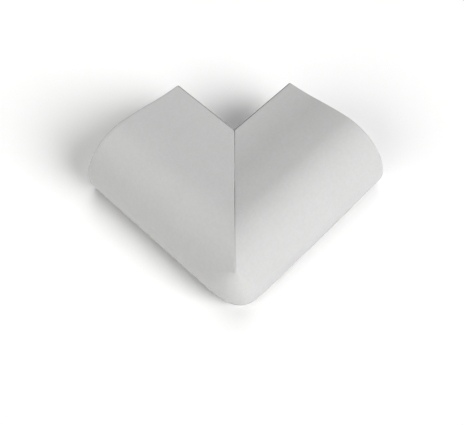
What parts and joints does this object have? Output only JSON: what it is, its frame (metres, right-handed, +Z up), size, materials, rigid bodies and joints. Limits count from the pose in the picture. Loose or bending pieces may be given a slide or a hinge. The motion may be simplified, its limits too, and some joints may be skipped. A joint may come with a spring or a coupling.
{
  "type": "furniture corner protector",
  "caption": "Soft foam guard for a table corner: a hooked strip with a rounded nose, notched in its flange, folded to a right angle and closed along a mitre seam.",
  "frame": {"origin": "middle of the bounding box on the surface that the guard lies on, rim of the wall down", "axes": "+Z up, away from the surface; the arms run from the outer corner along +X and +Y, and the guard mirrors about the plane x = y"},
  "size_m": [0.06, 0.06, 0.0198],
  "materials": {
    "light_grey_foam": "matt closed-cell foam skin"
  },
  "bodies": {
    "root": {"corner_guard": "light_grey_foam"}
  },
  "joints": []
}
